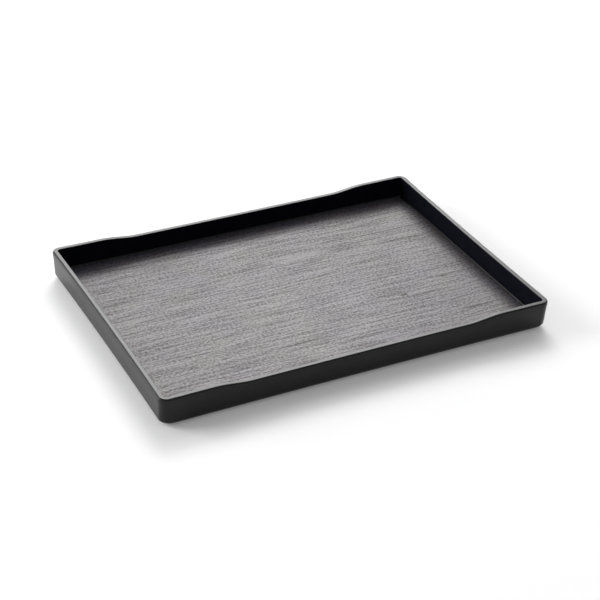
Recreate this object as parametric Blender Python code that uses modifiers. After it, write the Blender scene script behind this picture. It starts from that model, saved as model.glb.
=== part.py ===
"""Hotel room tray: a moulded shell with drafted walls, a bonded floor inlay and four pad feet.

Lengths are in metres and +Z is up. The origin is the centre of the footprint, on the surface that
the feet stand on. The long sides run along X, and each of them has a shallow dip for the hands.
"""

import math
from collections import namedtuple

import bmesh
import bpy
from mathutils import Vector

# Overall form of the shell
tray_length = 0.350
tray_width = 0.250
wall_height = 0.0255
wall_draft = math.radians(1.5)
long_side_bow = 0.0010
short_side_bow = 0.0011

# Rim, with a narrow band that stands proud of the wall below it
rim_width = 0.0048
rim_corner_radius = 0.0078
rim_outer_edge_radius = 0.0016
rim_inner_edge_radius = 0.0006
band_height = 0.0044
band_step = 0.00025

# Dips in the rim of the long sides
dip_depth = 0.0029
dip_end_distance = 0.0460
dip_ramp_length = 0.0325

# Base: a foot rim round a shallow recess
base_corner_radius = 0.0110
base_fillet_radius = 0.0050
foot_rim_width = 0.0040
recess_depth = 0.0015
recess_edge_radius = 0.0004
floor_thickness = 0.0036

# Inside of the shell
inner_wall_draft = math.radians(0.2)
inner_corner_radius = 0.0025
inner_foot_radius = 0.0015

# Textured sheet bonded to the floor, and the bond line that holds it and the feet
inlay_thickness = 0.0008
inlay_edge_clearance = 0.0002
inlay_corner_radius = 0.0022
inlay_edge_bevel = 0.00015
bond_line = 0.0003

# Pad feet, each in a shallow round seat under the floor
foot_diameter = 0.0140
foot_standoff = 0.0010
foot_setback = 0.0300
foot_side_taper = 0.0006
foot_edge_radius = 0.0007
foot_seat_depth = 0.0006
foot_seat_clearance = 0.0003

# Fineness of the meshes, and how far a cutter runs past what it cuts
corner_steps = 8
short_side_steps = 4
level_steps = 4
ramp_steps = 8
fillet_steps = 5
edge_steps = 3
turned_steps = 32
cut_overrun = 0.0010
merge_distance = 0.00001

# Heights that the sizes above give
rim_top = foot_standoff + wall_height
panel_underside = foot_standoff + recess_depth
floor_top = panel_underside + floor_thickness
inlay_underside = floor_top + bond_line
foot_seat_roof = panel_underside + foot_seat_depth
foot_height = foot_seat_roof - bond_line

# One ring of the shell: how far it lies inside the tray's outline, its height, its corner radius, the
# draft of the wall that it slides down where the rim dips, or None where it stays level, and how
# much of the bow of the sides it has.
Ring = namedtuple("Ring", "inset height corner_radius dip_draft bow_share", defaults=(None, 1.0))


def clear_scene():
    """Remove every object that the scene starts with."""
    for item in list(bpy.data.objects):
        bpy.data.objects.remove(item, do_unlink=True)


def new_collection(name):
    """Make a collection in the scene."""
    collection = bpy.data.collections.new(name)
    bpy.context.scene.collection.children.link(collection)
    return collection


def new_material(name, color, roughness):
    """Make a plain finish: a colour and how rough it is."""
    material = bpy.data.materials.new(name)
    material.use_nodes = True
    shader = material.node_tree.nodes["Principled BSDF"]
    shader.inputs["Base Color"].default_value = (*color, 1.0)
    shader.inputs["Roughness"].default_value = roughness
    shader.inputs["Metallic"].default_value = 0.0
    material.diffuse_color = (*color, 1.0)
    return material


def new_object(name, data, collection, material=None):
    """Put a mesh or a curve in a collection as an object, with its finish."""
    item = bpy.data.objects.new(name, data)
    collection.objects.link(item)
    if material:
        data.materials.append(material)
    return item


def shade_round(mesh, sharp_angle=math.radians(28)):
    """Shade a mesh smooth, apart from edges sharper than the angle."""
    mesh.shade_smooth()
    mesh.set_sharp_from_angle(angle=sharp_angle)


def dip_share(place):
    """How much of the dip's depth the rim has at this distance from the middle of a long side."""
    dip_start = tray_length / 2 - dip_end_distance
    share = min(max((dip_start - place) / dip_ramp_length, 0.0), 1.0)
    return share * share * (3 - 2 * share)


def long_side_places():
    """Distances from the middle of a long side at which the rings have points, outermost first."""
    dip_start = tray_length / 2 - dip_end_distance
    level_half = dip_start - dip_ramp_length
    places = [dip_start - dip_ramp_length * step / ramp_steps for step in range(ramp_steps)]
    places += [level_half * (1 - step / level_steps) for step in range(level_steps + 1)]
    return places


def bowed(x, y, bow_share):
    """Draw the middle of each side in, as a moulded wall shrinks between its corners."""
    along = x / (tray_length / 2)
    across = y / (tray_width / 2)
    draw_x = bow_share * short_side_bow * along * (1 - across**2)
    draw_y = bow_share * long_side_bow * across * (1 - along**2)
    return x - draw_x, y - draw_y


def quarter_points(ring):
    """Points of a quarter of a ring, from the middle of the +X side to the middle of the +Y side."""
    half_x = tray_length / 2 - ring.inset
    half_y = tray_width / 2 - ring.inset
    centre_x = half_x - ring.corner_radius
    centre_y = half_y - ring.corner_radius
    points = [(half_x, centre_y * step / short_side_steps, ring.height) for step in range(short_side_steps)]
    for step in range(corner_steps + 1):
        turn = math.pi / 2 * step / corner_steps
        x = centre_x + ring.corner_radius * math.cos(turn)
        y = centre_y + ring.corner_radius * math.sin(turn)
        points.append((x, y, ring.height))
    for place in long_side_places():
        drop = dip_depth * dip_share(place) if ring.dip_draft is not None else 0.0
        lean = drop * math.tan(ring.dip_draft or 0.0)
        points.append((place, half_y - lean, ring.height - drop))
    return [Vector((*bowed(x, y, ring.bow_share), z)) for x, y, z in points]


def ring_points(ring):
    """All the points of a ring, anticlockwise from above: a quarter and its mirror images."""
    quarter = quarter_points(ring)
    back_left = [Vector((-p.x, p.y, p.z)) for p in reversed(quarter[:-1])]
    front_left = [Vector((-p.x, -p.y, p.z)) for p in quarter[1:]]
    front_right = [Vector((p.x, -p.y, p.z)) for p in reversed(quarter[1:-1])]
    return quarter + back_left + front_left + front_right


def arc(inset, height, radius, first, last, steps):
    """Insets and heights along an arc about a centre: 0 faces out of the tray and a quarter turn up."""
    turns = [first + (last - first) * step / steps for step in range(steps + 1)]
    return [(inset - radius * math.cos(turn), height + radius * math.sin(turn)) for turn in turns]


def band_inset(height):
    """Inset of the band's face at a height."""
    return (rim_top - height) * math.tan(wall_draft)


def wall_inset(height):
    """Inset of the outer wall, below the band, at a height."""
    return band_inset(height) + band_step


def inner_inset(height):
    """Inset of the inner wall's face at a height."""
    return rim_width + (rim_top - height) * math.tan(inner_wall_draft)


# The foot rim starts where the base fillet meets the underside.
base_fillet_height = foot_standoff + base_fillet_radius
foot_rim_inset = wall_inset(base_fillet_height) + base_fillet_radius / math.cos(wall_draft)

# The floor's flat seat starts where the fillet at the inner wall's foot ends.
inner_foot_height = floor_top + inner_foot_radius
seat_inset = inner_inset(inner_foot_height) + inner_foot_radius / math.cos(inner_wall_draft)


def base_rings():
    """The underside's panel, the step down to the foot rim, and the foot rim."""
    inner_edge = foot_rim_inset + foot_rim_width
    radius = recess_edge_radius
    down = -math.pi / 2
    rows = arc(inner_edge + radius, panel_underside - radius, radius, -down, 0.0, edge_steps)
    rows += arc(inner_edge - radius, foot_standoff + radius, radius, 2 * down, down, edge_steps)
    return [Ring(i, h, base_corner_radius - (i - foot_rim_inset)) for i, h in rows]


def outer_rings():
    """The base fillet, the drafted wall, the band and the rim's outer edge."""
    down = -math.pi / 2
    rows = arc(foot_rim_inset, base_fillet_height, base_fillet_radius, down, -wall_draft, fillet_steps)
    corner_growth = base_corner_radius - rim_corner_radius
    rings = [Ring(i, h, rim_corner_radius + corner_growth * i / foot_rim_inset) for i, h in rows]
    band_foot = rim_top - band_height
    step_foot = band_foot - band_step
    edge_height = rim_top - rim_outer_edge_radius
    edge_inset = band_inset(edge_height) + rim_outer_edge_radius / math.cos(wall_draft)
    rows = [(wall_inset(step_foot), step_foot), (band_inset(band_foot), band_foot)]
    rows += arc(edge_inset, edge_height, rim_outer_edge_radius, -wall_draft, math.pi / 2, fillet_steps)
    rings += [Ring(i, h, rim_corner_radius - i, wall_draft) for i, h in rows]
    return rings


def inner_ring(inset, height, corner_radius, dip_draft=None):
    """A ring of the inner wall, which has the whole bow at the rim and none at the floor."""
    bow_share = (height - floor_top) / (rim_top - floor_top)
    return Ring(inset, height, corner_radius, dip_draft, bow_share)


def inner_rings():
    """The rim's inner edge, the inner wall, and the fillet at its foot."""
    edge_height = rim_top - rim_inner_edge_radius
    edge_inset = inner_inset(edge_height) - rim_inner_edge_radius / math.cos(inner_wall_draft)
    face_turn = math.pi - inner_wall_draft
    rows = arc(edge_inset, edge_height, rim_inner_edge_radius, math.pi / 2, face_turn, edge_steps)
    rings = [inner_ring(i, h, inner_corner_radius + inner_inset(h) - i, inner_wall_draft) for i, h in rows]
    rows = arc(seat_inset, inner_foot_height, inner_foot_radius, -inner_wall_draft, -math.pi / 2, edge_steps)
    rings += [inner_ring(i, h, inner_corner_radius) for i, h in rows]
    return rings


def loft(name, rings):
    """Join rings of points with quads and close the first and the last with a face."""
    shape = bmesh.new()
    loops = [[shape.verts.new(point) for point in ring_points(ring)] for ring in rings]
    count = len(loops[0])
    for lower, upper in zip(loops, loops[1:]):
        for index in range(count):
            following = (index + 1) % count
            shape.faces.new((lower[index], lower[following], upper[following], upper[index]))
    shape.faces.new(loops[0])
    shape.faces.new(loops[-1])
    bmesh.ops.recalc_face_normals(shape, faces=shape.faces)
    mesh = bpy.data.meshes.new(name)
    shape.to_mesh(mesh)
    shape.free()
    return mesh


def foot_places():
    """Centres of the four feet, with the names of their corners."""
    x = tray_length / 2 - foot_setback
    y = tray_width / 2 - foot_setback
    return {
        "front_left": (-x, -y),
        "front_right": (x, -y),
        "back_left": (-x, y),
        "back_right": (x, y),
    }


def make_shell(collection, cutters, material):
    """The one-piece moulded shell, with a round seat cut under the floor for each foot."""
    mesh = loft("tray_shell", base_rings() + outer_rings() + inner_rings())
    shell = new_object("tray_shell", mesh, collection, material)
    shade_round(mesh)
    seat_radius = foot_diameter / 2 + foot_seat_clearance
    depth = foot_seat_depth + cut_overrun
    for corner, (x, y) in foot_places().items():
        bpy.ops.mesh.primitive_cylinder_add(
            vertices=turned_steps,
            radius=seat_radius,
            depth=depth,
            location=(x, y, foot_seat_roof - depth / 2),
        )
        cutter = bpy.context.object
        cutter.name = "seat_cutter_" + corner
        for owner in list(cutter.users_collection):
            owner.objects.unlink(cutter)
        cutters.objects.link(cutter)
        cutter.display_type = "WIRE"
        cutter.hide_render = True
        cut = shell.modifiers.new("foot seat " + corner.replace("_", " "), "BOOLEAN")
        cut.operation = "DIFFERENCE"
        cut.solver = "EXACT"
        cut.object = cutter
    return shell


def make_inlay(collection, material):
    """The textured floor sheet: a flat outline with its edges just broken."""
    edge = Ring(seat_inset + inlay_edge_clearance, 0.0, inlay_corner_radius, bow_share=0.0)
    outline = bpy.data.curves.new("floor_inlay_outline", "CURVE")
    outline.dimensions = "2D"
    outline.fill_mode = "BOTH"
    outline.extrude = inlay_thickness / 2
    spline = outline.splines.new("POLY")
    points = ring_points(edge)
    spline.points.add(len(points) - 1)
    for target, point in zip(spline.points, points):
        target.co = (*point, 1.0)
    spline.use_cyclic_u = True
    pattern = bpy.data.objects.new("floor_inlay_outline", outline)
    collection.objects.link(pattern)
    pattern.location.z = inlay_underside + inlay_thickness / 2
    bpy.context.view_layer.update()
    evaluated = pattern.evaluated_get(bpy.context.evaluated_depsgraph_get())
    mesh = bpy.data.meshes.new_from_object(evaluated)
    place = pattern.matrix_world.copy()
    bpy.data.objects.remove(pattern)
    weld = bmesh.new()
    weld.from_mesh(mesh)
    bmesh.ops.remove_doubles(weld, verts=weld.verts, dist=merge_distance)
    weld.to_mesh(mesh)
    weld.free()
    mesh.name = "floor_inlay"
    inlay = new_object("floor_inlay", mesh, collection, material)
    inlay.matrix_world = place
    bevel = inlay.modifiers.new("broken edges", "BEVEL")
    bevel.width = inlay_edge_bevel
    bevel.segments = 1
    bevel.limit_method = "ANGLE"
    bevel.angle_limit = math.radians(60)
    return inlay


def foot_profile():
    """Half outline of a foot, from the middle of its top down its side to the middle of its sole."""
    top_radius = foot_diameter / 2
    sole_radius = top_radius - foot_side_taper
    profile = [(0.0, foot_height), (top_radius, foot_height)]
    for step in range(edge_steps + 1):
        turn = math.pi / 2 * step / edge_steps
        out = sole_radius - foot_edge_radius * (1 - math.cos(turn))
        profile.append((out, foot_edge_radius * (1 - math.sin(turn))))
    profile.append((0.0, 0.0))
    return profile


def make_feet(collection, material):
    """Four round pads that share one turned profile."""
    profile = foot_profile()
    mesh = bpy.data.meshes.new("foot_pad")
    edges = [(index, index + 1) for index in range(len(profile) - 1)]
    mesh.from_pydata([(x, 0.0, z) for x, z in profile], edges, [])
    mesh.materials.append(material)
    for corner, (x, y) in foot_places().items():
        foot = new_object("foot_" + corner, mesh, collection)
        foot.location = (x, y, 0.0)
        turn = foot.modifiers.new("turned pad", "SCREW")
        turn.axis = "Z"
        turn.angle = math.tau
        turn.steps = turned_steps
        turn.render_steps = turned_steps
        turn.use_merge_vertices = True
        turn.merge_threshold = merge_distance
        turn.use_smooth_shade = True


def main():
    """Build the tray."""
    clear_scene()
    parts = new_collection("hotel_room_tray")
    cutters = new_collection("cutters")
    black_moulding = new_material("black satin moulding", (0.013, 0.013, 0.014), 0.38)
    textured_sheet = new_material("dark wood-grain sheet", (0.030, 0.027, 0.027), 0.46)
    black_rubber = new_material("black rubber", (0.016, 0.016, 0.016), 0.80)
    make_shell(parts, cutters, black_moulding)
    make_inlay(parts, textured_sheet)
    make_feet(parts, black_rubber)


if __name__ == "__main__":
    main()
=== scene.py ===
"""A black hotel room tray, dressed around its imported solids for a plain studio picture.

The moulded shell, the wood-grain sheet on its floor and the four pad feet each get a finer mesh
than their solid and a procedural finish. Lengths are in metres, +Z is up, and the origin is the
middle of the footprint, on the surface that the feet stand on.
"""

import logging
import math
from collections.abc import Sequence
from dataclasses import dataclass, replace
from enum import Enum

import bmesh
import bpy
from bpy.types import Material, Mesh, Node, NodeSocket as Socket, NodeTree, Object
from mathutils import Matrix, Vector


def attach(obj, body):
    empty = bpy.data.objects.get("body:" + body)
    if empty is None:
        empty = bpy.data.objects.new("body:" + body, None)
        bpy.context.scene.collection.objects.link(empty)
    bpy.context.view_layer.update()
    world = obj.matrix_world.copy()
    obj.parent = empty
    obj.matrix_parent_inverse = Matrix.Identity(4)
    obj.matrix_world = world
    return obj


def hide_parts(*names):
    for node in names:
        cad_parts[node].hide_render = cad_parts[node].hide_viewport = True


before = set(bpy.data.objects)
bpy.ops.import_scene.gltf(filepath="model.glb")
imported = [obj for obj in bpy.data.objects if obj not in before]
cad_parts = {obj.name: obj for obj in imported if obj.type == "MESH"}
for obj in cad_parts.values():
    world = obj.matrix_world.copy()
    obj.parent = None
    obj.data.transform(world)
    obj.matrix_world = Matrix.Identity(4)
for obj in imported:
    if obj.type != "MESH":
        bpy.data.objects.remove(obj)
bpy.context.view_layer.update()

Color = tuple[float, float, float]
Rates = tuple[float, float, float]
Span = tuple[float, float]
Sockets = dict[str, Socket]
Source = float | str | tuple | Socket
Range = tuple[Source, Source]
Inputs = dict[str | int, Source]

BODY = "root"
PHOTO_PIXELS = 600
SENSOR_WIDTH = 36.0
QUARTER_TURN = math.pi / 2
SHARP_ANGLE = math.radians(40.0)
NOISE_MEAN = 0.5

log = logging.getLogger("tray")


class Slot(Enum):
    """The record's material slots."""

    SHELL = "shell"
    INLAY = "inlay"
    FOOT = "foot"


class Corner(Enum):
    """The corners under which a foot sits, with the signs of their X and Y."""

    FRONT_LEFT = ("front_left", -1, -1)
    FRONT_RIGHT = ("front_right", 1, -1)
    BACK_LEFT = ("back_left", -1, 1)
    BACK_RIGHT = ("back_right", 1, 1)

    @property
    def label(self) -> str:
        """The corner's name, as the solids have it."""
        return self.value[0]

    def place(self, length: float, width: float, setback: float) -> tuple[float, float]:
        """Give the X and Y that lie this far inside the two sides of the corner."""
        return self.value[1] * (length / 2 - setback), self.value[2] * (width / 2 - setback)


class NodeKit:
    """Adds nodes to one tree, sets their inputs and joins them."""

    def __init__(self, tree: NodeTree) -> None:
        """Keep the tree that the nodes go into."""
        self.tree = tree

    def fill(self, node: Node, inputs: Inputs) -> None:
        """Set a node's inputs.

        Args:
            node: The node.
            inputs: Values or sockets to join, by the input's name or number.
        """
        for key, source in inputs.items():
            socket = node.inputs[key]
            if isinstance(source, Socket):
                self.tree.links.new(source, socket)
            else:
                socket.default_value = (*source, 1.0) if socket.type == "RGBA" else source

    def add(self, kind: str, inputs: Inputs | None = None, **settings: object) -> Node:
        """Add a node.

        Args:
            kind: Blender's name for the kind of node.
            inputs: What fill() takes.
            settings: Properties of the node itself.

        Returns:
            The new node.
        """
        node = self.tree.nodes.new(kind)
        for name, value in settings.items():
            setattr(node, name, value)
        self.fill(node, inputs or {})
        return node

    def result(self, kind: str, inputs: Inputs | None = None, **settings: object) -> Socket:
        """Add a node as add() does, and give its first result."""
        return self.add(kind, inputs, **settings).outputs[0]

    def math(self, operation: str, *sources: Source) -> Socket:
        """Join numbers with one Math node."""
        return self.result("ShaderNodeMath", dict(enumerate(sources)), operation=operation)

    def vector(self, operation: str, *sources: Source) -> Socket:
        """Join vectors with one Vector Math node."""
        return self.result("ShaderNodeVectorMath", dict(enumerate(sources)), operation=operation)

    def combine(self, x: Source = 0.0, y: Source = 0.0, z: Source = 0.0) -> Socket:
        """Make a vector of three numbers."""
        return self.result("ShaderNodeCombineXYZ", {0: x, 1: y, 2: z})

    def parts(self, vector: Socket) -> list[Socket]:
        """Split a vector into its three numbers."""
        return list(self.add("ShaderNodeSeparateXYZ", {0: vector}).outputs)

    def per(self, place: Socket, size: Socket) -> Socket:
        """Measure a place in multiples of a size."""
        return self.vector("DIVIDE", place, self.combine(size, size, size))

    def remap(self, value: Source, span: Range, ends: Range = (0.0, 1.0)) -> Socket:
        """Ease a number from one range into another.

        Args:
            value: The number.
            span: Where the result starts and ends to change.
            ends: The result at either end of the span.

        Returns:
            The socket of the result.
        """
        names = ("Value", "From Min", "From Max", "To Min", "To Max")
        inputs = dict(zip(names, (value, *span, *ends)))
        return self.result("ShaderNodeMapRange", inputs, interpolation_type="SMOOTHSTEP")

    def noise(self, place: Source, detail: float = 2.0, roughness: float = 0.5) -> Socket:
        """Give smooth noise from 0 to 1, one unit of the place to a swell.

        Args:
            place: Where the noise is read.
            detail: How many finer octaves it has.
            roughness: How strong the finer octaves are.

        Returns:
            The socket of the noise.
        """
        inputs = {"Vector": place, "Scale": 1.0, "Detail": detail, "Roughness": roughness}
        return self.result("ShaderNodeTexNoise", inputs)

    def mix_color(self, share: Source, first: Source, second: Source) -> Socket:
        """Mix two colours, for which the Mix node has inputs 6 and 7 and output 2."""
        inputs = {0: share, 6: first, 7: second}
        return self.add("ShaderNodeMix", inputs, data_type="RGBA").outputs[2]

    def group(self, tree: NodeTree, **inputs: Source) -> Socket:
        """Place a shared group with its inputs by name, and give its one result."""
        return self.result("ShaderNodeGroup", inputs, node_tree=tree)


class MaterialKit(NodeKit):
    """Adds nodes to one material, beside its Principled BSDF."""

    def __init__(self, name: str) -> None:
        """Make the material.

        Args:
            name: The material's name.
        """
        self.material = bpy.data.materials.new(name)
        self.material.use_nodes = True
        super().__init__(self.material.node_tree)
        self.shader = self.tree.nodes["Principled BSDF"]

    def place(self) -> Socket:
        """Read the place on the piece."""
        return self.add("ShaderNodeTexCoord").outputs["Object"]

    def attribute(self, name: str) -> Socket:
        """Read a number that the mesh carries at its points."""
        return self.add("ShaderNodeAttribute", attribute_name=name).outputs["Fac"]


class Effects:
    """The shader groups that more than one finish uses, each built once."""

    def __init__(self) -> None:
        """Build the groups."""
        self.grain = self._grain()
        self.cloud = self._cloud()
        self.wear = self._wear()
        self.dust = self._dust()

    @staticmethod
    def _start(name: str, result: str, **inputs: float) -> tuple[NodeKit, Sockets]:
        """Start a group that reads a place on the piece.

        Args:
            name: The group's name.
            result: The name of its number output.
            inputs: The first values of its number inputs, by name.

        Returns:
            A kit for the group's tree, and the group's inputs by name.
        """
        tree = bpy.data.node_groups.new(name, "ShaderNodeTree")
        new_socket = tree.interface.new_socket
        new_socket("Place", in_out="INPUT", socket_type="NodeSocketVector")
        for label, value in inputs.items():
            socket = new_socket(label, in_out="INPUT", socket_type="NodeSocketFloat")
            socket.default_value = value
        new_socket(result, in_out="OUTPUT", socket_type="NodeSocketFloat")
        kit = NodeKit(tree)
        return kit, dict(kit.add("NodeGroupInput").outputs.items())

    def _grain(self) -> NodeTree:
        """Build the fine grain of a spark-eroded mould, whose result is a height.

        Returns:
            The group.
        """
        kit, given = self._start("fine grain", "Height", Size=0.0004, Pits=0.4)
        place = kit.per(given["Place"], given["Size"])
        coarse = kit.noise(place, detail=2.0, roughness=0.6)
        inputs = {"Vector": place, "Scale": 0.7}
        cells = kit.add("ShaderNodeTexVoronoi", inputs, feature="SMOOTH_F1").outputs["Distance"]
        pitted = kit.math("MULTIPLY", cells, given["Pits"])
        kit.add("NodeGroupOutput", {"Height": kit.math("ADD", coarse, pitted)})
        return kit.tree

    def _cloud(self) -> NodeTree:
        """Build a slow, blotchy variation from 0 to 1, as handling leaves on a satin face.

        Returns:
            The group.
        """
        kit, given = self._start("slow cloud", "Share", Size=0.03, Contrast=1.0)
        cloud = kit.noise(kit.per(given["Place"], given["Size"]), detail=3.0, roughness=0.55)
        spread = kit.math("MULTIPLY", kit.math("SUBTRACT", cloud, NOISE_MEAN), given["Contrast"])
        share = kit.result("ShaderNodeClamp", {"Value": kit.math("ADD", spread, NOISE_MEAN)})
        kit.add("NodeGroupOutput", {"Share": share})
        return kit.tree

    def _wear(self) -> NodeTree:
        """Build the broken rubbing along edges, a mask from the share of edge that a mesh carries.

        Returns:
            The group.
        """
        lift, softness = 0.25, 0.35
        kit, given = self._start("edge wear", "Mask", Edge=0.0, Size=0.004, Amount=0.5)
        broken = kit.noise(kit.per(given["Place"], given["Size"]), detail=4.0, roughness=0.65)
        start = kit.math("SUBTRACT", 1.0, given["Amount"])
        reach = kit.math("MULTIPLY", kit.math("ADD", broken, lift), given["Edge"])
        mask = kit.remap(reach, (start, kit.math("ADD", start, softness)))
        kit.add("NodeGroupOutput", {"Mask": mask})
        return kit.tree

    def _dust(self) -> NodeTree:
        """Build sparse specks and a thin film of dust, a mask.

        Returns:
            The group.
        """
        softness = 0.6
        kit, given = self._start("surface dust", "Mask", Spacing=0.009, Speck=0.03, Film=0.1)
        place = kit.per(given["Place"], given["Spacing"])
        cells = kit.add("ShaderNodeTexVoronoi", {"Vector": place, "Scale": 1.0})
        out = kit.math("DIVIDE", cells.outputs["Distance"], given["Speck"])
        speck = kit.remap(kit.math("SUBTRACT", 1.0, out), (0.0, softness))
        film = kit.math("MULTIPLY", kit.noise(place, detail=3.0, roughness=0.6), given["Film"])
        kit.add("NodeGroupOutput", {"Mask": kit.math("MAXIMUM", speck, film)})
        return kit.tree


@dataclass(frozen=True)
class Finish:
    """What every finish of the tray has: colour, roughness, fine grain, wear and dust."""

    name: str
    color: Color
    roughness: float
    roughness_spread: float
    grain_size: float
    grain_height: float
    wear_color: Color
    dust_amount: float
    dust_color: Color = (0.30, 0.29, 0.28)
    dust_speck: float = 0.035
    dust_film: float = 0.25
    dust_roughening: float = 0.25
    wear_amount: float = 0.42
    wear_share: float = 0.6
    cloud_size: float = 0.035
    cloud_contrast: float = 1.3

    def surface(self, kit: MaterialKit, effects: Effects) -> tuple[Source, Source, Source]:
        """Lay out the bare surface, which here is plain and only knows its edges.

        Args:
            effects: The shared groups; not used here.

        Returns:
            How much of an edge a point is, its colour, and what is added to its roughness.
        """
        return kit.attribute("edge"), self.color, 0.0

    def build(self, effects: Effects) -> Material:
        """Make the material: the bare surface under its wear, dust and grain.

        Args:
            effects: The shared groups.

        Returns:
            The material.
        """
        kit = MaterialKit(self.name)
        edge, bare, polish = self.surface(kit, effects)
        place = kit.place()
        wear = kit.group(effects.wear, Place=place, Edge=edge, Amount=self.wear_amount)
        dust = kit.group(effects.dust, Place=place, Speck=self.dust_speck, Film=self.dust_film)
        cloud = kit.group(
            effects.cloud, Place=place, Size=self.cloud_size, Contrast=self.cloud_contrast)
        grain = kit.group(effects.grain, Place=place, Size=self.grain_size)
        worn = kit.mix_color(kit.math("MULTIPLY", wear, self.wear_share), bare, self.wear_color)
        dusty = kit.mix_color(kit.math("MULTIPLY", dust, self.dust_amount), worn, self.dust_color)
        uneven = kit.math("SUBTRACT", cloud, NOISE_MEAN)
        rough = kit.math("MULTIPLY_ADD", uneven, self.roughness_spread, self.roughness)
        rough = kit.math("ADD", rough, polish)
        rough = kit.math("MULTIPLY_ADD", dust, self.dust_roughening * self.dust_amount, rough)
        bump = {"Strength": 1.0, "Distance": self.grain_height, "Height": grain}
        normal = kit.result("ShaderNodeBump", bump)
        kit.fill(kit.shader, {"Base Color": dusty, "Roughness": rough, "Normal": normal})
        return kit.material


@dataclass(frozen=True)
class MouldedFinish(Finish):
    """Black moulding, matt inside and coloured a bluer black there as painted cool shade, with a
    satin gloss on its outside and rim.
    """

    # The inside's bluer black is painted cool shade, not the plastic's own colour.
    inside_painted_shade_color: Color = (0.0014, 0.0018, 0.0055)
    edge_polish: float = -0.05
    base_specular: float = 0.018
    gloss_roughness: float = 0.32
    gloss_ior: float = 1.36

    def surface(self, kit: MaterialKit, effects: Effects) -> tuple[Source, Source, Source]:
        """Lay out the bare moulding, with a coat as strong as the mesh's gloss, and the bluer
        painted-shade colour where the gloss falls away inside the tray.

        Args:
            effects: The shared groups; not used here.

        Returns:
            How much of an edge a point is, its colour, and what is added to its roughness.
        """
        edge, gloss = kit.attribute("edge"), kit.attribute("gloss")
        kit.fill(kit.shader, {
            "Coat Weight": gloss, "Coat Roughness": self.gloss_roughness,
            "Coat IOR": self.gloss_ior, "Specular IOR Level": self.base_specular})
        # Where the gloss is low, on the inner walls and floor, the colour turns to the bluer
        # painted shade.
        bare = kit.mix_color(gloss, self.inside_painted_shade_color, self.color)
        return edge, bare, kit.math("MULTIPLY", edge, self.edge_polish)


@dataclass(frozen=True)
class SheetFinish(Finish):
    """Dark sheet with a wood grain pressed into it."""

    cool_color: Color = (0.040, 0.041, 0.064)
    dim_color: Color = (0.010, 0.011, 0.015)
    patch_size: float = 0.035
    patch_contrast: float = 3.0
    pore_color: Color = (0.006, 0.006, 0.007)
    crest_polish: float = -0.06
    gloss_floor: float = 0.15
    crest_gloss: float = 0.50
    spark_gloss: float = 0.80
    spark_size: float = 0.0018
    spark_stretch: Rates = (0.8, 1.0, 1.0)
    spark_contrast: float = 5.0
    gloss_roughness: float = 0.50
    base_specular: float = 0.42
    specular_tint: Color = (1.0, 0.80, 0.72)

    def surface(self, kit: MaterialKit, effects: Effects) -> tuple[Source, Source, Source]:
        """Lay out the bare sheet: cool and neutral patches, glossy crests, sparks and dull pores.

        Args:
            effects: The shared groups.

        Returns:
            How much of an edge a point is, its colour, and what is added to its roughness.
        """
        place, pore, crest = kit.place(), kit.attribute("pore"), kit.attribute("crest")
        patch = kit.group(
            effects.cloud, Place=place, Size=self.patch_size, Contrast=self.patch_contrast)
        along = kit.vector("MULTIPLY", place, self.spark_stretch)
        spark = kit.group(
            effects.cloud, Place=along, Size=self.spark_size, Contrast=self.spark_contrast)
        gloss = kit.math("MULTIPLY_ADD", crest, self.crest_gloss, self.gloss_floor)
        gloss = kit.math("MULTIPLY_ADD", spark, self.spark_gloss, gloss)
        kit.fill(kit.shader, {
            "Coat Weight": kit.math("MULTIPLY", gloss, kit.math("SUBTRACT", 1.0, pore)),
            "Coat Roughness": self.gloss_roughness, "Specular IOR Level": self.base_specular,
            "Specular Tint": self.specular_tint})
        dyed = kit.mix_color(patch, self.color, self.cool_color)
        bare = kit.mix_color(pore, kit.mix_color(gloss, self.dim_color, dyed), self.pore_color)
        return 0.0, bare, kit.math("MULTIPLY", crest, self.crest_polish)


@dataclass(frozen=True)
class RubberFinish(Finish):
    """Matt black rubber, scuffed on its sole."""


@dataclass(frozen=True)
class Ring:
    """One ring of the shell's skin.

    It has an inset from the tray's outline, a height, a corner radius, the share of the rim's dip
    that it takes, the draft of the wall that it slides down there, the share of the sides' bow,
    how much of a worn edge it is, and its share of the moulding's gloss, where less gloss also
    brings in more of the painted cool-shade colour.
    """

    inset: float
    height: float
    corner_radius: float
    dip: float = 0.0
    draft: float = 0.0
    bow: float = 1.0
    edge: float = 0.0
    gloss: float = 1.0

    def toward(self, other: "Ring", share: float) -> "Ring":
        """Give the ring that lies this share of the way to another."""
        first, last = vars(self), vars(other)
        return Ring(**{name: first[name] + (last[name] - first[name]) * share for name in first})


def arc(
        inset: float, height: float, radius: float, first: float, last: float,
        steps: int) -> list[tuple[float, float]]:
    """Walk along an arc of the shell's section.

    Args:
        inset: Inset of the arc's centre.
        height: Height of the arc's centre.
        radius: Radius of the arc.
        first: Turn at which it starts, where 0 faces out of the tray and a quarter turn faces up.
        last: Turn at which it ends.
        steps: How many steps it takes.

    Returns:
        The insets and heights of its points.
    """
    turns = [first + (last - first) * step / steps for step in range(steps + 1)]
    return [(inset - radius * math.cos(turn), height + radius * math.sin(turn)) for turn in turns]


def to_mesh(shape: bmesh.types.BMesh, name: str) -> Mesh:
    """Turn a shape that is being modelled into a mesh, and free it.

    Args:
        shape: The shape.
        name: The mesh's name.

    Returns:
        The mesh.
    """
    mesh = bpy.data.meshes.new(name)
    shape.to_mesh(mesh)
    shape.free()
    return mesh


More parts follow.
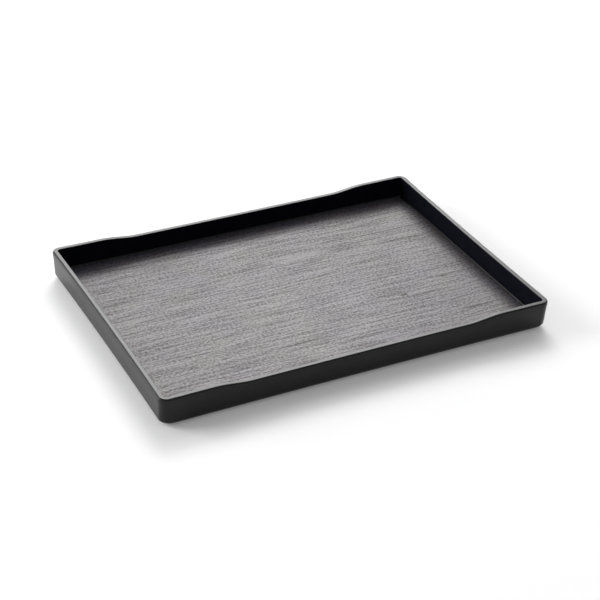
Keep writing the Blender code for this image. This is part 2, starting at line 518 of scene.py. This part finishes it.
def loft(name: str, loops: list[list[Vector]], marks: dict[str, Sequence[float]]) -> Mesh:
    """Skin a row of loops of points, and cap it at both ends.

    Args:
        name: The mesh's name.
        loops: The loops, which have the same count of points.
        marks: Numbers that the points carry, by name, one for each loop.

    Returns:
        The closed mesh.
    """
    shape = bmesh.new()
    layers = [shape.verts.layers.float.new(label) for label in marks]
    rows = [[shape.verts.new(point) for point in loop] for loop in loops]
    for layer, values in zip(layers, marks.values()):
        for row, value in zip(rows, values):
            for vertex in row:
                vertex[layer] = value
    for row, other in zip(rows, rows[1:]):
        for index in range(len(row)):
            after = (index + 1) % len(row)
            shape.faces.new((row[index], row[after], other[after], other[index]))
    for cap in (rows[0], rows[-1]):
        shape.faces.new(cap)
    bmesh.ops.recalc_face_normals(shape, faces=shape.faces)
    return to_mesh(shape, name)


def new_object(name: str, mesh: Mesh, material: Material | None = None) -> Object:
    """Put a mesh in the scene at the origin.

    Args:
        name: The object's name.
        mesh: Its mesh.
        material: Its finish.

    Returns:
        The object.
    """
    item = bpy.data.objects.new(name, mesh)
    bpy.context.scene.collection.objects.link(item)
    if material:
        mesh.materials.clear()
        mesh.materials.append(material)
    return item


def settle(item: Object, name: str, material: Material) -> Object:
    """Turn an object with live modifiers into a plain mesh.

    Args:
        item: The object, which is removed.
        name: The name of the plain mesh and its object.
        material: The finish of the plain object.

    Returns:
        The plain object.
    """
    bpy.context.view_layer.update()
    evaluated = item.evaluated_get(bpy.context.evaluated_depsgraph_get())
    made = bpy.data.meshes.new_from_object(evaluated)
    bpy.data.objects.remove(item, do_unlink=True)
    made.name = name
    return new_object(name, made, material)


def place_piece(item: Object, node: str) -> Object:
    """Shade a finished piece smooth between its sharp edges, and let it stand for a node.

    Args:
        item: The finished piece.
        node: The node that it replaces.

    Returns:
        The same piece.
    """
    item.data.shade_smooth()
    item.data.set_sharp_from_angle(angle=SHARP_ANGLE)
    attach(item, BODY)
    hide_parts(node)
    return item


@dataclass
class TrayShell:
    """The one-piece shell: foot rim, drafted walls, band, rim with its dips, and inner walls."""

    length: float = 0.350
    width: float = 0.250
    wall_height: float = 0.0255
    wall_draft: float = math.radians(1.5)
    long_side_bow: float = 0.0010
    short_side_bow: float = 0.0011
    rim_width: float = 0.0048
    rim_corner_radius: float = 0.0078
    rim_outer_edge_radius: float = 0.0016
    rim_inner_edge_radius: float = 0.0006
    band_height: float = 0.0044
    band_step: float = 0.00025
    band_step_rise: float = 0.0001
    dip_depth: float = 0.0029
    dip_end_distance: float = 0.0460
    dip_ramp_length: float = 0.0325
    base_corner_radius: float = 0.0110
    base_fillet_radius: float = 0.0050
    foot_rim_width: float = 0.0040
    recess_depth: float = 0.0015
    recess_edge_radius: float = 0.0004
    floor_thickness: float = 0.0036
    inner_wall_draft: float = math.radians(0.2)
    inner_corner_radius: float = 0.0025
    inner_foot_radius: float = 0.0015
    wall_gloss: float = 0.88
    band_gloss: float = 0.80
    recess_edge_wear: float = 0.3
    rim_inner_edge_wear: float = 0.8
    foot_standoff: float = 0.0010
    seat_radius: float = 0.0073
    seat_depth: float = 0.0006
    seat_setback: float = 0.0300
    corner_steps: int = 24
    short_side_steps: int = 10
    level_steps: int = 10
    ramp_steps: int = 24
    arc_steps: int = 8
    seat_steps: int = 96
    support: float = 0.00025
    longest_bare_run: float = 0.0010

    def __post_init__(self) -> None:
        """Work out the heights and insets that follow from the sizes."""
        self.rim_top = self.foot_standoff + self.wall_height
        self.panel_underside = self.foot_standoff + self.recess_depth
        self.seat_roof = self.panel_underside + self.seat_depth
        self.floor_top = self.panel_underside + self.floor_thickness
        self.inner_foot_height = self.floor_top + self.inner_foot_radius
        fillet = self.inner_foot_radius / math.cos(self.inner_wall_draft)
        self.floor_inset = self.inner_inset(self.inner_foot_height) + fillet

    def long_side_places(self) -> list[tuple[float, float]]:
        """Choose where the rings have points along a long side.

        Returns:
            Distances from the middle of the side, outermost first, and the rim's share of the
            dip's depth at each.
        """
        start, ramp = self.length / 2 - self.dip_end_distance, self.dip_ramp_length
        places = [start - ramp * step / self.ramp_steps for step in range(self.ramp_steps)]
        steps = range(self.level_steps + 1)
        places += [(start - ramp) * (1 - step / self.level_steps) for step in steps]
        shares = [min(max((start - place) / ramp, 0.0), 1.0) for place in places]
        return [(place, share * share * (3 - 2 * share)) for place, share in zip(places, shares)]

    def quarter(self, ring: Ring) -> list[Vector]:
        """Give a quarter of a ring, whose sides bow inward as moulded walls shrink.

        Args:
            ring: The ring.

        Returns:
            Its points, from the middle of the +X side to the middle of the +Y side.
        """
        half_x, half_y = self.length / 2 - ring.inset, self.width / 2 - ring.inset
        centre_x, centre_y = half_x - ring.corner_radius, half_y - ring.corner_radius
        steps = self.short_side_steps
        points = [(half_x, centre_y * step / steps, ring.height) for step in range(steps)]
        for step in range(self.corner_steps + 1):
            turn = QUARTER_TURN * step / self.corner_steps
            x = centre_x + ring.corner_radius * math.cos(turn)
            points.append((x, centre_y + ring.corner_radius * math.sin(turn), ring.height))
        for place, share in self.long_side_places():
            drop = self.dip_depth * share * ring.dip
            points.append((place, half_y - drop * math.tan(ring.draft), ring.height - drop))
        bowed = []
        for x, y, z in points:
            along, across = x / (self.length / 2), y / (self.width / 2)
            draw_x = ring.bow * self.short_side_bow * along * (1 - across**2)
            draw_y = ring.bow * self.long_side_bow * across * (1 - along**2)
            bowed.append(Vector((x - draw_x, y - draw_y, z)))
        return bowed

    def outline(self, ring: Ring) -> list[Vector]:
        """Give a whole ring.

        Args:
            ring: The ring.

        Returns:
            Its points, anticlockwise from above: a quarter and its mirror images.
        """
        quarter = self.quarter(ring)
        mirrored = ((-1, 1, quarter[-2::-1]), (-1, -1, quarter[1:]), (1, -1, quarter[-2:0:-1]))
        rest = [Vector((x * p.x, y * p.y, p.z)) for x, y, points in mirrored for p in points]
        return quarter + rest

    def band_inset(self, height: float) -> float:
        """Inset of the band's face at a height."""
        return (self.rim_top - height) * math.tan(self.wall_draft)

    def wall_inset(self, height: float) -> float:
        """Inset of the outer wall, below the band, at a height."""
        return self.band_inset(height) + self.band_step

    def inner_inset(self, height: float) -> float:
        """Inset of the inner wall's face at a height."""
        return self.rim_width + (self.rim_top - height) * math.tan(self.inner_wall_draft)

    def base_rings(self) -> list[Ring]:
        """Give the skin from the underside up to the foot of the drafted wall.

        Returns:
            The rings of the panel, the foot rim and the base fillet.
        """
        steps, radius = self.arc_steps, self.recess_edge_radius
        fillet = self.base_fillet_radius
        fillet_height = self.foot_standoff + fillet
        foot_inset = self.wall_inset(fillet_height) + fillet / math.cos(self.wall_draft)
        near, far = (foot_inset + self.foot_rim_width + side * radius for side in (-1, 1))
        low, high = self.foot_standoff + radius, self.panel_underside - radius
        rows = [(far + self.support, self.panel_underside)]
        rows += arc(far, high, radius, QUARTER_TURN, 0.0, steps)
        rows += arc(near, low, radius, -2 * QUARTER_TURN, -QUARTER_TURN, steps)
        corner, wear = self.base_corner_radius, self.recess_edge_wear
        rings = [Ring(i, h, corner - (i - foot_inset), edge=wear) for i, h in rows]
        growth = (self.base_corner_radius - self.rim_corner_radius) / foot_inset
        turns = (-QUARTER_TURN, -self.wall_draft)
        for i, h in arc(foot_inset, fillet_height, fillet, *turns, 2 * steps):
            corner = self.rim_corner_radius + growth * i
            rings.append(Ring(i, h, corner, 0.0, self.wall_draft, gloss=self.wall_gloss))
        return rings

    def band_rings(self) -> list[Ring]:
        """Give the skin from the top of the drafted wall to the rim's flat top.

        Returns:
            The rings of the band's step, its face and the rim's outer edge, most worn halfway up.
        """
        band_foot = self.rim_top - self.band_height
        step_foot = band_foot - self.band_step_rise
        rows = [(self.wall_inset(step_foot), step_foot, 0.0, self.wall_gloss)]
        rows.append((self.band_inset(band_foot), band_foot, 0.0, self.band_gloss))
        radius = self.rim_outer_edge_radius
        edge_height = self.rim_top - radius
        edge_inset = self.band_inset(edge_height) + radius / math.cos(self.wall_draft)
        turns = (-self.wall_draft, QUARTER_TURN)
        for i, h in arc(edge_inset, edge_height, radius, *turns, self.arc_steps):
            rise = (h - edge_height) / radius
            gloss = self.band_gloss + (1 - self.band_gloss) * rise
            rows.append((i, h, 4 * rise * (1 - rise), gloss))
        corner, draft = self.rim_corner_radius, self.wall_draft
        return [Ring(i, h, corner - i, 1.0, draft, edge=e, gloss=g) for i, h, e, g in rows]

    def inner_rings(self) -> list[Ring]:
        """Give the skin from the rim down to the floor.

        Returns:
            The rings of the rim's inner edge, the inner wall, the fillet at its foot and the floor.
        """
        draft, radius = self.inner_wall_draft, self.rim_inner_edge_radius
        edge_height = self.rim_top - radius
        edge_inset = self.inner_inset(edge_height) - radius / math.cos(draft)
        turns = (QUARTER_TURN, math.pi - draft)
        rings = []
        for i, h in arc(edge_inset, edge_height, radius, *turns, self.arc_steps):
            corner = self.inner_corner_radius + self.inner_inset(h) - i
            gloss = (h - edge_height) / radius
            rings.append(Ring(i, h, corner, 1.0, draft, edge=self.rim_inner_edge_wear, gloss=gloss))
        corner, matt_height = self.inner_corner_radius, self.inner_foot_height + self.support
        rings.append(Ring(self.inner_inset(matt_height), matt_height, corner, gloss=0.0))
        foot = (self.floor_inset, self.inner_foot_height, self.inner_foot_radius)
        for i, h in arc(*foot, -draft, -QUARTER_TURN, self.arc_steps):
            rings.append(Ring(i, h, corner, 0.0, draft))
        rings.append(Ring(self.floor_inset + self.support, self.floor_top, corner))
        climb = self.rim_top - self.floor_top
        return [replace(ring, bow=(ring.height - self.floor_top) / climb) for ring in rings]

    def supported(self, rings: list[Ring]) -> list[Ring]:
        """Add rings close to the ends of long faces, which keeps them flat under smooth shading.

        Args:
            rings: The rings of the section's corners and arcs.

        Returns:
            The rings with the added ones between them.
        """
        full = [rings[0]]
        for ring, other in zip(rings, rings[1:]):
            run = math.hypot(other.inset - ring.inset, other.height - ring.height)
            if run > self.longest_bare_run:
                near = self.support / run
                full += [ring.toward(other, share) for share in (near, 0.5, 1 - near)]
            full.append(other)
        return full

    def skin(self) -> Mesh:
        """Loft the rings.

        Returns:
            The closed mesh of the shell, before its foot seats are cut.
        """
        rings = self.supported(self.base_rings() + self.band_rings() + self.inner_rings())
        marks = {"edge": [ring.edge for ring in rings], "gloss": [ring.gloss for ring in rings]}
        return loft("shell_skin", [self.outline(ring) for ring in rings], marks)

    def mark_seats(self, mesh: Mesh) -> None:
        """Give the points of the seats, which the cut leaves without marks, the panel's gloss.

        Args:
            mesh: The shell after its seats are cut.
        """
        middle_x, middle_y = Corner.BACK_RIGHT.place(self.length, self.width, self.seat_setback)
        for vertex in mesh.vertices:
            out = math.hypot(abs(vertex.co.x) - middle_x, abs(vertex.co.y) - middle_y)
            above = vertex.co.z - self.seat_roof
            if out < self.seat_radius + self.support and above < self.support:
                mesh.attributes["gloss"].data[vertex.index].value = 1.0
                mesh.attributes["edge"].data[vertex.index].value = 0.0

    def build(self, material: Material) -> Object:
        """Make the shell, with a round seat under its floor for each foot.

        Args:
            material: The moulding's finish.

        Returns:
            The finished piece.
        """
        shell = new_object("shell_draft", self.skin(), material)
        cutters = []
        depth = 2 * self.seat_depth
        for corner in Corner:
            x, y = corner.place(self.length, self.width, self.seat_setback)
            shape = bmesh.new()
            bmesh.ops.create_cone(
                shape, cap_ends=True, segments=self.seat_steps, radius1=self.seat_radius,
                radius2=self.seat_radius, depth=depth,
                matrix=Matrix.Translation((x, y, self.seat_roof - depth / 2)))
            mesh = to_mesh(shape, "seat_cutter")
            cutters.append(new_object("seat_cutter_" + corner.label, mesh))
            cut = shell.modifiers.new("seat", "BOOLEAN")
            cut.operation, cut.solver, cut.object = "DIFFERENCE", "EXACT", cutters[-1]
        piece = settle(shell, "moulded_shell", material)
        for cutter in cutters:
            bpy.data.objects.remove(cutter, do_unlink=True)
        self.mark_seats(piece.data)
        return place_piece(piece, "tray_shell")


class GrainTree(NodeKit):
    """The Geometry Nodes that press the wood grain into the sheet, with its sizes as inputs."""

    def __init__(self, sheet: "FloorSheet") -> None:
        """Build the tree.

        Args:
            sheet: The sheet.
        """
        super().__init__(bpy.data.node_groups.new("pressed wood grain", "GeometryNodeTree"))
        self.sheet = sheet
        numbers = {name: size for name, size in vars(sheet).items() if not isinstance(size, tuple)}
        self.values = {name.replace("_", " ").title(): size for name, size in numbers.items()}
        new_socket = self.tree.interface.new_socket
        for name, value in self.values.items():
            kind = "NodeSocketInt" if isinstance(value, int) else "NodeSocketFloat"
            new_socket(name, in_out="INPUT", socket_type=kind)
        new_socket("Finish", in_out="INPUT", socket_type="NodeSocketMaterial")
        new_socket("Sheet", in_out="OUTPUT", socket_type="NodeSocketGeometry")
        given = dict(self.add("NodeGroupInput").outputs.items())
        for name in ("Length", "Width"):
            half = self.math("DIVIDE", given[name], 2.0)
            given["Half " + name] = half
            given["Core " + name] = self.math("SUBTRACT", half, given["Corner Radius"])
        self.given = given
        grid = self.result("GeometryNodeMeshGrid", {
            "Size X": given["Length"], "Size Y": given["Width"],
            "Vertices X": given["Rows Along"], "Vertices Y": given["Rows Across"]})
        closed = self._skirt(self._press(grid))
        real = self.result("GeometryNodeRealizeInstances", {"Geometry": closed})
        dressed = {"Geometry": real, "Material": given["Finish"]}
        self.add("NodeGroupOutput", {0: self.result("GeometryNodeSetMaterial", dressed)})

    def _press(self, sheet: Socket) -> Socket:
        """Round the corners of a flat grid, and press and mark its relief.

        Args:
            sheet: The grid.

        Returns:
            The top of the sheet.
        """
        place = self.result("GeometryNodeInputPosition")
        parts = self.parts(place)
        scale = self.combine(self._corner_reach(parts[1]), 1.0, 1.0)
        inputs = {"Geometry": sheet, "Position": self.vector("MULTIPLY", place, scale)}
        sheet = self.result("GeometryNodeSetPosition", inputs)
        relief, fade = self._relief(place), self._edge_fade(parts)
        for name in ("pore", "crest"):
            mark = self.math("MULTIPLY", relief[name], fade)
            inputs = {"Geometry": sheet, "Name": name, "Value": mark}
            sheet = self.result(
                "GeometryNodeStoreNamedAttribute", inputs, data_type="FLOAT", domain="POINT")
        drop = self.math("MULTIPLY", relief["depth"], fade)
        lift = self.combine(z=self.math("SUBTRACT", self.given["Top"], drop))
        return self.result("GeometryNodeSetPosition", {"Geometry": sheet, "Offset": lift})

    def _corner_reach(self, across: Socket) -> Socket:
        """Give how far out a row of the grid reaches, which is less beside the rounded corners.

        Args:
            across: The row's place across the sheet.

        Returns:
            The row's share of the full length.
        """
        radius = self.given["Corner Radius"]
        past = self.math("SUBTRACT", self.math("ABSOLUTE", across), self.given["Core Width"])
        past = self.math("MAXIMUM", past, 0.0)
        squares = (self.math("MULTIPLY", side, side) for side in (radius, past))
        left = self.math("MAXIMUM", self.math("SUBTRACT", *squares), 0.0)
        reach = self.math("ADD", self.given["Core Length"], self.math("SQRT", left))
        return self.math("DIVIDE", reach, self.given["Half Length"])

    def _relief(self, place: Socket) -> Sockets:
        """Give the pressed wood grain: fine fibres, long wandering pores and slow swells.

        Args:
            place: The point's place.

        Returns:
            The depth below the crests, and the shares of pore and crest, by name.
        """
        sheet = self.sheet
        seeded = self.vector("ADD", place, self.combine(z=self.given["Seed"]))
        drift = self.noise(self.vector("MULTIPLY", seeded, sheet.drift_rate))
        offset = self.math("SUBTRACT", drift, NOISE_MEAN)
        offset = self.math("MULTIPLY", offset, self.given["Drift Reach"])
        lane = self.vector("ADD", seeded, self.combine(y=offset))
        fibre = self.noise(self.vector("MULTIPLY", lane, sheet.fibre_rate), roughness=0.6)
        streak = self.noise(self.vector("MULTIPLY", lane, sheet.streak_rate))
        swell = self.noise(self.vector("MULTIPLY", lane, sheet.swell_rate), detail=1.0)
        knots = self.vector("MULTIPLY", lane, sheet.knot_rate)
        cells = self.add("ShaderNodeTexVoronoi", {"Vector": knots, "Scale": 1.0}).outputs
        chosen = self.math("GREATER_THAN", self.parts(cells["Color"])[0], self.given["Knot Rarity"])
        knot = self.remap(cells["Distance"], sheet.knot_span, (1.0, 0.0))
        knot = self.math("MULTIPLY", knot, chosen)
        pore = self.math("MAXIMUM", self.remap(streak, sheet.streak_span), knot)
        crest = self.remap(fibre, sheet.crest_span)
        depth = self.math("MULTIPLY", self.math("SUBTRACT", 1.0, crest), self.given["Grain Depth"])
        for share, name in ((pore, "Pore Depth"), (swell, "Swell Depth")):
            depth = self.math("ADD", depth, self.math("MULTIPLY", share, self.given[name]))
        return {"depth": depth, "pore": pore, "crest": crest}

    def _edge_fade(self, parts: list[Socket]) -> Socket:
        """Let the relief die away at the sheet's edge.

        Args:
            parts: The point's place along, across and up.

        Returns:
            1 inside the margin, falling to 0 at the edge.
        """
        fades = []
        for part, half in zip(parts, (self.given["Half Length"], self.given["Half Width"])):
            left = self.math("SUBTRACT", half, self.math("ABSOLUTE", part))
            fades.append(self.remap(left, (0.0, self.given["Edge Margin"])))
        return self.math("MINIMUM", *fades)

    def _pull(self, mesh: Socket, edges: Socket, lift: Socket) -> Sockets:
        """Extrude some edges of a mesh straight up or down.

        Args:
            mesh: The mesh.
            edges: Which edges are extruded.
            lift: How far up.

        Returns:
            The mesh, and the new edges as Top.
        """
        offset = self.combine(z=lift)
        inputs = {"Mesh": mesh, "Selection": edges, "Offset": offset, "Offset Scale": 1.0}
        return dict(self.add("GeometryNodeExtrudeMesh", inputs, mode="EDGES").outputs.items())

    def _skirt(self, sheet: Socket) -> Socket:
        """Close the sheet with a broken edge, a side and an underside.

        Args:
            sheet: The pressed top.

        Returns:
            The closed sheet.
        """
        faces = self.result("GeometryNodeInputMeshEdgeNeighbors")
        one_face = {2: faces, 3: 1}
        border = self.result("FunctionNodeCompare", one_face, data_type="INT", operation="EQUAL")
        bevel = self.given["Edge Bevel"]
        slope = self._pull(sheet, border, self.math("MULTIPLY", bevel, -1.0))
        place = self.result("GeometryNodeInputPosition")
        core = self.combine(self.given["Core Length"], self.given["Core Width"])
        opposite = self.vector("MULTIPLY", core, (-1.0, -1.0, 0.0))
        inside = self.vector("MINIMUM", self.vector("MAXIMUM", place, opposite), core)
        level = (1.0, 1.0, 0.0)
        outward = self.vector("MULTIPLY", self.vector("SUBTRACT", place, inside), level)
        spread = {0: self.vector("NORMALIZE", outward), "Scale": bevel}
        offset = self.result("ShaderNodeVectorMath", spread, operation="SCALE")
        widened = self.result("GeometryNodeSetPosition", {
            "Geometry": slope["Mesh"], "Selection": slope["Top"], "Offset": offset})
        fall = self.math("SUBTRACT", bevel, self.given["Thickness"])
        side = self._pull(widened, slope["Top"], fall)
        rim = {"Mesh": side["Mesh"], "Selection": side["Top"]}
        outline = {"Curve": self.result("GeometryNodeMeshToCurve", rim)}
        low = self.combine(z=self.math("SUBTRACT", self.given["Top"], self.given["Thickness"]))
        underside = self.result("GeometryNodeTransform", {
            "Geometry": self.result("GeometryNodeFillCurve", outline, mode="NGONS"),
            "Translation": low})
        join = self.add("GeometryNodeJoinGeometry")
        for part in (underside, side["Mesh"]):
            self.fill(join, {0: part})
        weld = {"Geometry": join.outputs[0], "Distance": self.given["Weld Distance"]}
        return self.result("GeometryNodeMergeByDistance", weld)


@dataclass
class FloorSheet:
    """The wood-grain sheet on the floor, whose relief follows one rule of nodes.

    A rate is how many swells or cells of a pattern fit in a metre along each axis, and a span is
    where a pattern starts and ends to show.
    """

    CLEARANCE = 0.0002
    BOND_LINE = 0.0003

    length: float
    width: float
    top: float
    thickness: float = 0.0008
    corner_radius: float = 0.0022
    edge_bevel: float = 0.00015
    rows_along: int = 152
    rows_across: int = 588
    grain_depth: float = 0.00012
    pore_depth: float = 0.00008
    swell_depth: float = 0.00012
    edge_margin: float = 0.0030
    weld_distance: float = 0.00001
    seed: float = 4.0
    drift_rate: Rates = (7.0, 20.0, 1.0)
    drift_reach: float = 0.008
    fibre_rate: Rates = (18.0, 430.0, 1.0)
    streak_rate: Rates = (13.0, 310.0, 2.0)
    swell_rate: Rates = (5.0, 60.0, 3.0)
    knot_rate: Rates = (22.0, 60.0, 1.0)
    knot_rarity: float = 0.72
    knot_span: Span = (0.03, 0.13)
    streak_span: Span = (0.58, 0.82)
    crest_span: Span = (0.34, 0.64)

    @classmethod
    def inside(cls, shell: TrayShell) -> "FloorSheet":
        """Size the sheet for the flat part of the shell's floor.

        Args:
            shell: The shell.

        Returns:
            The sheet, with the length and width that its top has before the bevel widens it.
        """
        inset = shell.floor_inset + cls.CLEARANCE
        length, width = (
            size - 2 * inset - 2 * cls.edge_bevel for size in (shell.length, shell.width))
        return cls(length, width, top=shell.floor_top + cls.BOND_LINE + cls.thickness)

    def build(self, material: Material) -> Object:
        """Make the sheet.

        Args:
            material: The sheet's finish.

        Returns:
            The finished piece.
        """
        draft = new_object("sheet_draft", bpy.data.meshes.new("sheet_draft"))
        grain = GrainTree(self)
        modifier = draft.modifiers.new("pressed wood grain", "NODES")
        modifier.node_group = grain.tree
        for socket in grain.tree.interface.items_tree:
            if socket.in_out == "INPUT":
                modifier[socket.identifier] = grain.values.get(socket.name, material)
        piece = settle(draft, "wood_grain_sheet", material)
        shape = bmesh.new()
        shape.from_mesh(piece.data)
        bmesh.ops.recalc_face_normals(shape, faces=shape.faces)
        shape.to_mesh(piece.data)
        shape.free()
        return place_piece(piece, "floor_inlay")


@dataclass
class PadFeet:
    """The four round pads, each turned from one profile."""

    tray_length: float
    tray_width: float
    setback: float
    diameter: float = 0.0140
    height: float = 0.0028
    side_taper: float = 0.0006
    edge_radius: float = 0.0007
    sole_wear: float = 0.8
    turned_steps: int = 96
    arc_steps: int = 8
    top_support: float = 0.0002
    sole_support: float = 0.0003

    def profile(self) -> list[tuple[float, float, float]]:
        """Give half a pad's outline.

        Returns:
            Radius, height and share of worn edge, from its top edge to its sole.
        """
        top = self.diameter / 2
        sole = top - self.side_taper
        rows = [(top, self.height, 0.0), (top, self.height - self.top_support, 0.0)]
        for step in range(self.arc_steps + 1):
            turn = QUARTER_TURN * step / self.arc_steps
            radius = sole - self.edge_radius * (1 - math.cos(turn))
            rows.append((radius, self.edge_radius * (1 - math.sin(turn)), step / self.arc_steps))
        return rows + [(rows[-1][0] - self.sole_support, 0.0, self.sole_wear)]

    def build_one(self, corner: Corner, material: Material) -> Object:
        """Make the pad at a corner.

        Args:
            corner: The corner.
            material: The rubber.

        Returns:
            The finished piece.
        """
        x, y = corner.place(self.tray_length, self.tray_width, self.setback)
        turns = [math.tau * step / self.turned_steps for step in range(self.turned_steps)]
        radii, heights, wear = zip(*self.profile())
        loops = [
            [Vector((x + r * math.cos(turn), y + r * math.sin(turn), h)) for turn in turns]
            for r, h in zip(radii, heights)]
        name = "pad_" + corner.label
        mesh = loft(name, loops, {"edge": wear})
        return place_piece(new_object(name, mesh, material), "foot_" + corner.label)

    def build(self, material: Material) -> list[Object]:
        """Make all four pads of one rubber."""
        return [self.build_one(corner, material) for corner in Corner]


def heading(azimuth: float, elevation: float) -> Vector:
    """Give the direction of a lamp or a camera from the tray.

    Args:
        azimuth: Degrees clockwise from +Y, seen from above.
        elevation: Degrees above the floor.

    Returns:
        A vector of length 1 that points there.
    """
    turn, rise = math.radians(azimuth), math.radians(elevation)
    level = math.cos(rise)
    return Vector((math.sin(turn) * level, math.cos(turn) * level, math.sin(rise)))


@dataclass(frozen=True)
class Softbox:
    """A large soft lamp that faces the tray."""

    name: str
    azimuth: float
    elevation: float
    width: float
    height: float
    radiance: float
    distance: float = 3.0

    def build(self) -> None:
        """Make the lamp."""
        lamp = bpy.data.lights.new(self.name, "AREA")
        lamp.shape = "RECTANGLE"
        lamp.size, lamp.size_y = self.width, self.height
        lamp.energy = self.radiance * math.pi * self.width * self.height
        item = bpy.data.objects.new(self.name, lamp)
        bpy.context.scene.collection.objects.link(item)
        toward = heading(self.azimuth, self.elevation)
        item.location = toward * self.distance
        item.rotation_euler = toward.to_track_quat("Z", "Y").to_euler()
        item.visible_camera = False


@dataclass
class Studio:
    """The pale floor, the soft light and the sky of the picture.

    A blend is the range of a direction's X, Y or Z over which one part of the sky turns into the
    next.
    """

    floor_size: float = 12.0
    floor_color: Color = (0.93, 0.93, 0.93)
    floor_roughness: float = 0.9
    floor_lift: float = 0.12
    sky_low_left: float = 4.50
    sky_low_right: float = 3.00
    sky_high: float = 0.38
    sky_front: float = 0.30
    sky_zenith: float = 0.34
    left_right_blend: Span = (-0.15, 0.15)
    low_high_blend: Span = (0.15, 0.30)
    front_back_blend: Span = (-0.25, 0.35)
    zenith_blend: Span = (0.65, 0.90)
    softboxes: tuple[Softbox, ...] = (
        Softbox("key_softbox", azimuth=33.0, elevation=45.0, width=2.8, height=2.2, radiance=1.6),
        Softbox("core_softbox", azimuth=24.0, elevation=36.5, width=1.4, height=1.0, radiance=8.6),
        Softbox("side_softbox", azimuth=-60.0, elevation=25.0, width=1.5, height=1.2, radiance=8.5),
    )

    def floor(self) -> None:
        """Make the floor, whose white the camera and mirrors see a little lifted."""
        shape = bmesh.new()
        bmesh.ops.create_grid(shape, x_segments=1, y_segments=1, size=self.floor_size / 2)
        kit = MaterialKit("pale studio floor")
        kit.fill(kit.shader, {
            "Base Color": self.floor_color, "Roughness": self.floor_roughness,
            "Specular IOR Level": 0.0})
        path = kit.add("ShaderNodeLightPath").outputs
        seen = kit.math("MAXIMUM", path["Is Camera Ray"], path["Is Glossy Ray"])
        seen = kit.math("MAXIMUM", seen, path["Is Transmission Ray"])
        lift = kit.result(
            "ShaderNodeEmission", {"Strength": kit.math("MULTIPLY", seen, self.floor_lift)})
        both = kit.result("ShaderNodeAddShader", {0: kit.shader.outputs[0], 1: lift})
        kit.fill(kit.tree.nodes["Material Output"], {"Surface": both})
        new_object("studio_floor", to_mesh(shape, "studio_floor"), kit.material)

    def sky(self) -> None:
        """Make the world: bright at the far horizon, dimmer above, and dark behind the camera."""
        world = bpy.data.worlds.new("studio sky")
        bpy.context.scene.world = world
        world.use_nodes = True
        kit = NodeKit(world.node_tree)
        x, y, z = kit.parts(kit.add("ShaderNodeTexCoord").outputs["Generated"])
        low = kit.remap(x, self.left_right_blend, (self.sky_low_left, self.sky_low_right))
        far = kit.remap(z, self.low_high_blend, (low, self.sky_high))
        side = kit.remap(y, self.front_back_blend, (self.sky_front, far))
        level = kit.remap(z, self.zenith_blend, (side, self.sky_zenith))
        white = (1.0, 1.0, 1.0)
        kit.fill(world.node_tree.nodes["Background"], {"Color": white, "Strength": level})

    def build(self) -> None:
        """Make the floor, the sky and the lamps."""
        self.floor()
        self.sky()
        for softbox in self.softboxes:
            softbox.build()
        log.info("studio: %d softboxes", len(self.softboxes))


@dataclass
class PhotoCamera:
    """The camera, fitted to the outline of the tray in the photograph."""

    azimuth: float = -27.436
    elevation: float = 31.846
    roll: float = 1.8734
    distance: float = 1.3828
    focal_pixels: float = 1618.0
    offset_x_pixels: float = -4.771
    offset_y_pixels: float = 0.203
    target: Vector = Vector((0.0, 0.0, 0.0010))

    def build(self) -> None:
        """Make the camera and let the scene use it."""
        data = bpy.data.cameras.new("photo_camera")
        data.sensor_width = SENSOR_WIDTH
        data.lens = self.focal_pixels / PHOTO_PIXELS * SENSOR_WIDTH
        data.shift_x = -self.offset_x_pixels / PHOTO_PIXELS
        data.shift_y = self.offset_y_pixels / PHOTO_PIXELS
        back = heading(180.0 - self.azimuth, self.elevation)
        level = back.to_track_quat("Z", "Y").to_matrix().to_4x4()
        place = Matrix.Translation(self.target + back * self.distance)
        camera = bpy.data.objects.new("photo_camera", data)
        bpy.context.scene.collection.objects.link(camera)
        camera.matrix_world = place @ level @ Matrix.Rotation(math.radians(self.roll), 4, "Z")
        bpy.context.scene.camera = camera
        log.info("camera: %.1f mm lens at %.3f m", data.lens, self.distance)


def report(piece: Object) -> None:
    """Log a finished piece's name and its count of triangles."""
    piece.data.calc_loop_triangles()
    log.info("%s: %d triangles", piece.name, len(piece.data.loop_triangles))


def main() -> None:
    """Dress the tray and set up its picture."""
    logging.basicConfig(level=logging.INFO, format="%(message)s")
    bpy.context.scene.view_settings.view_transform = "Standard"
    PhotoCamera().build()
    Studio().build()
    effects = Effects()
    moulding = MouldedFinish(
        name="black satin moulding", color=(0.0026, 0.0026, 0.0024), roughness=0.34,
        roughness_spread=0.05, grain_size=0.00035, grain_height=0.000012,
        wear_color=(0.030, 0.029, 0.030), dust_amount=0.10)
    pressed = SheetFinish(
        name="dark pressed wood grain", color=(0.047, 0.044, 0.050), roughness=0.62,
        roughness_spread=0.04, grain_size=0.00045, grain_height=0.000020,
        wear_color=(0.030, 0.030, 0.030), dust_amount=0.05)
    rubber = RubberFinish(
        name="matt black rubber", color=(0.016, 0.016, 0.016), roughness=0.80,
        roughness_spread=0.08, grain_size=0.0005, grain_height=0.000030,
        wear_color=(0.060, 0.058, 0.056), dust_amount=0.20)
    shell = TrayShell()
    report(shell.build(moulding.build(effects)))
    report(FloorSheet.inside(shell).build(pressed.build(effects)))
    for pad in PadFeet(shell.length, shell.width, shell.seat_setback).build(rubber.build(effects)):
        report(pad)


if __name__ == "__main__":
    main()
